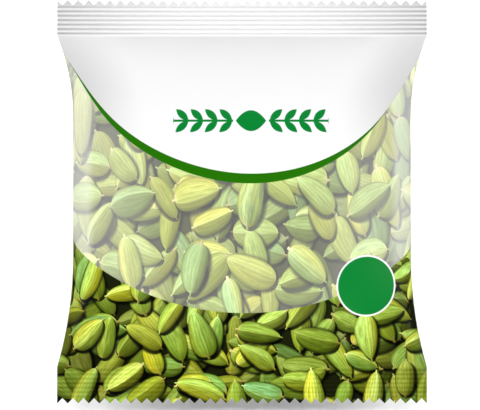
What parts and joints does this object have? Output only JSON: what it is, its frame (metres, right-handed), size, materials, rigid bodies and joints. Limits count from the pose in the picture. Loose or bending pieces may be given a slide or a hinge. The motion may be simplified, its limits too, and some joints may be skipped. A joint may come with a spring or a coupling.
{
  "type": "pillow pouch of cardamom pods",
  "caption": "Pillow pouch of glossy printed film with ribbed, zigzag-cut end seals and a fin seal folded flat on its back, filled with loose dried green cardamom pods.",
  "frame": {"origin": "centre of the pouch's outline, on the surface that it lies on", "axes": "+X across the width, +Y up the printed face towards the top seal, +Z out of the printed face"},
  "size_m": [0.1112, 0.1204, 0.0243],
  "materials": {
    "film": "glossy printed film",
    "husk": "dry green husk, matte"
  },
  "bodies": {
    "root": {"film_pouch": "film", "pod_01": "husk", "pod_02": "husk", "pod_03": "husk", "pod_04": "husk", "pod_05": "husk", "pod_06": "husk", "pod_07": "husk", "pod_08": "husk", "pod_09": "husk", "pod_10": "husk", "pod_11": "husk", "pod_12": "husk", "pod_13": "husk", "pod_14": "husk", "pod_15": "husk", "pod_16": "husk", "pod_17": "husk", "pod_18": "husk", "pod_19": "husk", "pod_20": "husk", "pod_21": "husk", "pod_22": "husk", "pod_23": "husk", "pod_24": "husk", "pod_25": "husk", "pod_26": "husk", "pod_27": "husk", "pod_28": "husk", "pod_29": "husk", "pod_30": "husk", "pod_31": "husk", "pod_32": "husk", "pod_33": "husk", "pod_34": "husk", "pod_35": "husk", "pod_36": "husk", "pod_37": "husk", "pod_38": "husk"}
  },
  "joints": []
}
